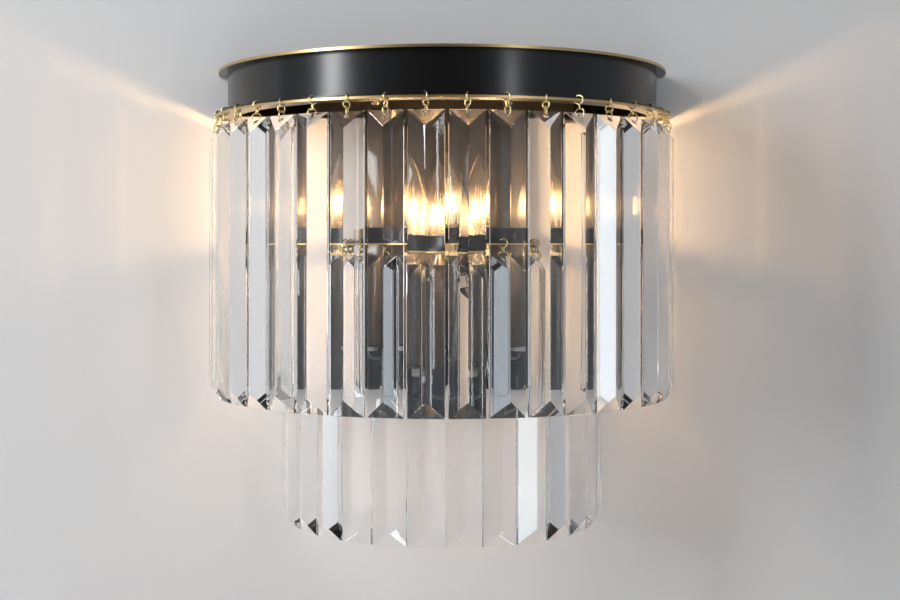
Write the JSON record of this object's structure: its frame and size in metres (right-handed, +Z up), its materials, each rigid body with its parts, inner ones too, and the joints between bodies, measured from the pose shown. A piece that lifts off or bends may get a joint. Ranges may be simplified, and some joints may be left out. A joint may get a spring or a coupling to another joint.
{
  "type": "crystal wall sconce",
  "caption": "Half-round wall light with two tiers of hanging crystal prisms under a black drum, and candle bulbs inside.",
  "frame": {"origin": "On the wall, at the centre of the wall strap's two slots.", "axes": "+Z up, +X to the right seen from the room, -Y out from the wall into the room."},
  "size_m": [0.3512, 0.1756, 0.3373],
  "materials": {
    "black_paint": "satin",
    "black_gloss": "gloss",
    "black_screws": "satin",
    "zinc_steel": "zinc plated",
    "nickel": "polished",
    "brass": "polished",
    "cap_metal": "plain",
    "white_plastic": "matte",
    "sleeve_plastic": "satin",
    "lead_pvc": "matte",
    "rubber": "matte",
    "bulb_glass": "clear",
    "filament": "clear stem with bare wire",
    "crystal": "clear, cut and polished"
  },
  "bodies": {
    "frame": {"bulb_caps": "cap_metal", "bulb_filaments": "filament", "bulb_glasses": "bulb_glass", "candle_sleeves": "sleeve_plastic", "cap_nuts": "nickel", "drum_band": "black_paint", "earth_screw": "brass", "holder_nipples": "zinc_steel", "inner_back_strip": "black_paint", "inner_band": "black_paint", "inner_rail": "black_paint", "lamp_bracket": "black_paint", "lamp_holders": "white_plastic", "lamp_leads": "lead_pvc", "lower_rings": "brass", "middle_rings": "brass", "outer_rail": "black_paint", "plate_grommet": "rubber", "plate_screws": "black_screws", "strap_screws": "zinc_steel", "terminal_block": "white_plastic", "top_plate": "black_paint", "upper_rings": "brass", "wall_plate": "black_gloss", "wall_strap": "zinc_steel"},
    "outer_prism_01": {"outer_prism_01": "crystal"},
    "outer_prism_02": {"outer_prism_02": "crystal"},
    "outer_prism_03": {"outer_prism_03": "crystal"},
    "outer_prism_04": {"outer_prism_04": "crystal"},
    "outer_prism_05": {"outer_prism_05": "crystal"},
    "outer_prism_06": {"outer_prism_06": "crystal"},
    "outer_prism_07": {"outer_prism_07": "crystal"},
    "outer_prism_08": {"outer_prism_08": "crystal"},
    "outer_prism_09": {"outer_prism_09": "crystal"},
    "outer_prism_10": {"outer_prism_10": "crystal"},
    "outer_prism_11": {"outer_prism_11": "crystal"},
    "outer_prism_12": {"outer_prism_12": "crystal"},
    "outer_prism_13": {"outer_prism_13": "crystal"},
    "outer_prism_14": {"outer_prism_14": "crystal"},
    "outer_prism_15": {"outer_prism_15": "crystal"},
    "outer_prism_16": {"outer_prism_16": "crystal"},
    "outer_prism_17": {"outer_prism_17": "crystal"},
    "outer_prism_18": {"outer_prism_18": "crystal"},
    "outer_prism_19": {"outer_prism_19": "crystal"},
    "outer_prism_20": {"outer_prism_20": "crystal"},
    "inner_prism_01": {"inner_prism_01": "crystal"},
    "inner_prism_02": {"inner_prism_02": "crystal"},
    "inner_prism_03": {"inner_prism_03": "crystal"},
    "inner_prism_04": {"inner_prism_04": "crystal"},
    "inner_prism_05": {"inner_prism_05": "crystal"},
    "inner_prism_06": {"inner_prism_06": "crystal"},
    "inner_prism_07": {"inner_prism_07": "crystal"},
    "inner_prism_08": {"inner_prism_08": "crystal"},
    "inner_prism_09": {"inner_prism_09": "crystal"},
    "inner_prism_10": {"inner_prism_10": "crystal"},
    "inner_prism_11": {"inner_prism_11": "crystal"},
    "inner_prism_12": {"inner_prism_12": "crystal"},
    "inner_prism_13": {"inner_prism_13": "crystal"},
    "inner_prism_14": {"inner_prism_14": "crystal"}
  },
  "joints": [
    {"name": "outer_prism_01_swing", "type": "hinge", "parent": "frame", "child": "outer_prism_01", "pos_m": [-0.16918, -0.01331, -0.02241], "axis": [-0.0785, 0.9969, 0], "range_deg": [-2.5, 20]},
    {"name": "outer_prism_02_swing", "type": "hinge", "parent": "frame", "child": "outer_prism_02", "pos_m": [-0.16501, -0.03962, -0.02241], "axis": [-0.2334, 0.9724, 0], "range_deg": [-2.5, 20]},
    {"name": "outer_prism_03_swing", "type": "hinge", "parent": "frame", "child": "outer_prism_03", "pos_m": [-0.15678, -0.06494, -0.02241], "axis": [-0.3827, 0.9239, 0], "range_deg": [-2.5, 20]},
    {"name": "outer_prism_04_swing", "type": "hinge", "parent": "frame", "child": "outer_prism_04", "pos_m": [-0.14469, -0.08867, -0.02241], "axis": [-0.5225, 0.8526, 0], "range_deg": [-2.5, 20]},
    {"name": "outer_prism_05_swing", "type": "hinge", "parent": "frame", "child": "outer_prism_05", "pos_m": [-0.12904, -0.11021, -0.02241], "axis": [-0.6494, 0.7604, 0], "range_deg": [-2.5, 20]},
    {"name": "outer_prism_06_swing", "type": "hinge", "parent": "frame", "child": "outer_prism_06", "pos_m": [-0.11021, -0.12904, -0.02241], "axis": [-0.7604, 0.6494, 0], "range_deg": [-2.5, 20]},
    {"name": "outer_prism_07_swing", "type": "hinge", "parent": "frame", "child": "outer_prism_07", "pos_m": [-0.08867, -0.14469, -0.02241], "axis": [-0.8526, 0.5225, 0], "range_deg": [-2.5, 20]},
    {"name": "outer_prism_08_swing", "type": "hinge", "parent": "frame", "child": "outer_prism_08", "pos_m": [-0.06494, -0.15678, -0.02241], "axis": [-0.9239, 0.3827, 0], "range_deg": [-2.5, 20]},
    {"name": "outer_prism_09_swing", "type": "hinge", "parent": "frame", "child": "outer_prism_09", "pos_m": [-0.03962, -0.16501, -0.02241], "axis": [-0.9724, 0.2334, 0], "range_deg": [-2.5, 20]},
    {"name": "outer_prism_10_swing", "type": "hinge", "parent": "frame", "child": "outer_prism_10", "pos_m": [-0.01331, -0.16918, -0.02241], "axis": [-0.9969, 0.0785, 0], "range_deg": [-2.5, 20]},
    {"name": "outer_prism_11_swing", "type": "hinge", "parent": "frame", "child": "outer_prism_11", "pos_m": [0.01331, -0.16918, -0.02241], "axis": [-0.9969, -0.0785, 0], "range_deg": [-2.5, 20]},
    {"name": "outer_prism_12_swing", "type": "hinge", "parent": "frame", "child": "outer_prism_12", "pos_m": [0.03962, -0.16501, -0.02241], "axis": [-0.9724, -0.2334, 0], "range_deg": [-2.5, 20]},
    {"name": "outer_prism_13_swing", "type": "hinge", "parent": "frame", "child": "outer_prism_13", "pos_m": [0.06494, -0.15678, -0.02241], "axis": [-0.9239, -0.3827, 0], "range_deg": [-2.5, 20]},
    {"name": "outer_prism_14_swing", "type": "hinge", "parent": "frame", "child": "outer_prism_14", "pos_m": [0.08867, -0.14469, -0.02241], "axis": [-0.8526, -0.5225, 0], "range_deg": [-2.5, 20]},
    {"name": "outer_prism_15_swing", "type": "hinge", "parent": "frame", "child": "outer_prism_15", "pos_m": [0.11021, -0.12904, -0.02241], "axis": [-0.7604, -0.6494, 0], "range_deg": [-2.5, 20]},
    {"name": "outer_prism_16_swing", "type": "hinge", "parent": "frame", "child": "outer_prism_16", "pos_m": [0.12904, -0.11021, -0.02241], "axis": [-0.6494, -0.7604, 0], "range_deg": [-2.5, 20]},
    {"name": "outer_prism_17_swing", "type": "hinge", "parent": "frame", "child": "outer_prism_17", "pos_m": [0.14469, -0.08867, -0.02241], "axis": [-0.5225, -0.8526, 0], "range_deg": [-2.5, 20]},
    {"name": "outer_prism_18_swing", "type": "hinge", "parent": "frame", "child": "outer_prism_18", "pos_m": [0.15678, -0.06494, -0.02241], "axis": [-0.3827, -0.9239, 0], "range_deg": [-2.5, 20]},
    {"name": "outer_prism_19_swing", "type": "hinge", "parent": "frame", "child": "outer_prism_19", "pos_m": [0.16501, -0.03962, -0.02241], "axis": [-0.2334, -0.9724, 0], "range_deg": [-2.5, 20]},
    {"name": "outer_prism_20_swing", "type": "hinge", "parent": "frame", "child": "outer_prism_20", "pos_m": [0.16918, -0.01331, -0.02241], "axis": [-0.0785, -0.9969, 0], "range_deg": [-2.5, 20]},
    {"name": "inner_prism_01_swing", "type": "hinge", "parent": "frame", "child": "inner_prism_01", "pos_m": [-0.11398, -0.01284, -0.11721], "axis": [-0.112, 0.9937, 0], "range_deg": [-0.7, 15]},
    {"name": "inner_prism_02_swing", "type": "hinge", "parent": "frame", "child": "inner_prism_02", "pos_m": [-0.10826, -0.03788, -0.11721], "axis": [-0.3303, 0.9439, 0], "range_deg": [-0.7, 15]},
    {"name": "inner_prism_03_swing", "type": "hinge", "parent": "frame", "child": "inner_prism_03", "pos_m": [-0.09712, -0.06102, -0.11721], "axis": [-0.532, 0.8467, 0], "range_deg": [-0.7, 15]},
    {"name": "inner_prism_04_swing", "type": "hinge", "parent": "frame", "child": "inner_prism_04", "pos_m": [-0.08111, -0.08111, -0.11721], "axis": [-0.7071, 0.7071, 0], "range_deg": [-0.7, 15]},
    {"name": "inner_prism_05_swing", "type": "hinge", "parent": "frame", "child": "inner_prism_05", "pos_m": [-0.06102, -0.09712, -0.11721], "axis": [-0.8467, 0.532, 0], "range_deg": [-0.7, 15]},
    {"name": "inner_prism_06_swing", "type": "hinge", "parent": "frame", "child": "inner_prism_06", "pos_m": [-0.03788, -0.10826, -0.11721], "axis": [-0.9439, 0.3303, 0], "range_deg": [-0.7, 15]},
    {"name": "inner_prism_07_swing", "type": "hinge", "parent": "frame", "child": "inner_prism_07", "pos_m": [-0.01284, -0.11398, -0.11721], "axis": [-0.9937, 0.112, 0], "range_deg": [-0.7, 15]},
    {"name": "inner_prism_08_swing", "type": "hinge", "parent": "frame", "child": "inner_prism_08", "pos_m": [0.01284, -0.11398, -0.11721], "axis": [-0.9937, -0.112, 0], "range_deg": [-0.7, 15]},
    {"name": "inner_prism_09_swing", "type": "hinge", "parent": "frame", "child": "inner_prism_09", "pos_m": [0.03788, -0.10826, -0.11721], "axis": [-0.9439, -0.3303, 0], "range_deg": [-0.7, 15]},
    {"name": "inner_prism_10_swing", "type": "hinge", "parent": "frame", "child": "inner_prism_10", "pos_m": [0.06102, -0.09712, -0.11721], "axis": [-0.8467, -0.532, 0], "range_deg": [-0.7, 15]},
    {"name": "inner_prism_11_swing", "type": "hinge", "parent": "frame", "child": "inner_prism_11", "pos_m": [0.08111, -0.08111, -0.11721], "axis": [-0.7071, -0.7071, 0], "range_deg": [-0.7, 15]},
    {"name": "inner_prism_12_swing", "type": "hinge", "parent": "frame", "child": "inner_prism_12", "pos_m": [0.09712, -0.06102, -0.11721], "axis": [-0.532, -0.8467, 0], "range_deg": [-0.7, 15]},
    {"name": "inner_prism_13_swing", "type": "hinge", "parent": "frame", "child": "inner_prism_13", "pos_m": [0.10826, -0.03788, -0.11721], "axis": [-0.3303, -0.9439, 0], "range_deg": [-0.7, 15]},
    {"name": "inner_prism_14_swing", "type": "hinge", "parent": "frame", "child": "inner_prism_14", "pos_m": [0.11398, -0.01284, -0.11721], "axis": [-0.112, -0.9937, 0], "range_deg": [-0.7, 15]}
  ]
}
